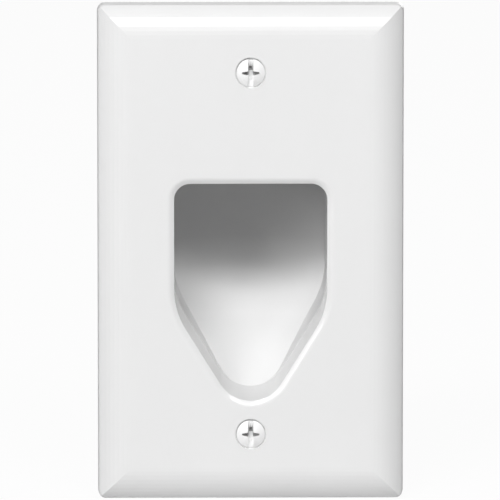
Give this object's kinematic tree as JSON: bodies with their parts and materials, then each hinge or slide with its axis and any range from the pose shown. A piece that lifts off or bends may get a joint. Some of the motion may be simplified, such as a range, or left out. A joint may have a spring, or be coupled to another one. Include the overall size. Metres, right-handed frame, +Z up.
{
  "type": "recessed cable wall plate",
  "caption": "Crowned wall plate with a bevelled opening and a moulded scoop hood that leads low-voltage cables up into the wall cavity, fixed by oval-head screws.",
  "frame": {"origin": "on the wall plane, midway between the fixing screws", "axes": "+X to the right seen from the room, +Y into the wall, +Z up; the front faces -Y"},
  "size_m": [0.0698, 0.0416, 0.1142],
  "materials": {
    "white_plastic": "smooth moulded, semi-gloss",
    "painted_screw": "white enamel on the head, zinc-plated shank"
  },
  "bodies": {
    "root": {"wall_plate": "white_plastic", "mounting_screws": "painted_screw"}
  },
  "joints": []
}
